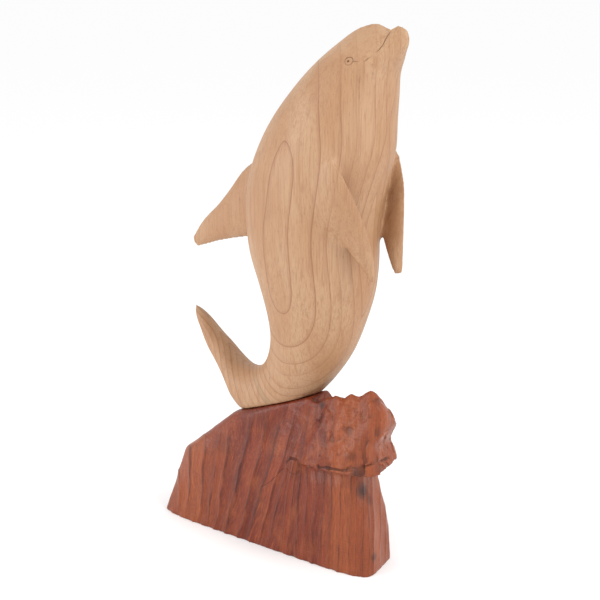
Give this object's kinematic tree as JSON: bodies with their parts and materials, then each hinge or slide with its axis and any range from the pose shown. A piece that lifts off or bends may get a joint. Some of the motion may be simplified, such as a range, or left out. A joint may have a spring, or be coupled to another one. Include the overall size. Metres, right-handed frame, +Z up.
{
  "type": "carved wooden dolphin sculpture",
  "caption": "Carved dolphin in smooth pale wood, leaping nose up with its tail curled back, standing on a rough-hewn sloping base of red-brown wood.",
  "frame": {"origin": "middle of the flat underside of the base", "axes": "+Z up; +X to the right end of the base, the way the dolphin's belly faces; the dolphin's right side is at -Y"},
  "size_m": [0.2228, 0.0938, 0.4031],
  "materials": {
    "pale_wood": "sanded smooth and waxed, satin",
    "red_brown_wood": "tooled with a gouge, stained and lacquered, satin to semi-gloss"
  },
  "bodies": {
    "root": {"dolphin": "pale_wood", "base": "red_brown_wood"}
  },
  "joints": []
}
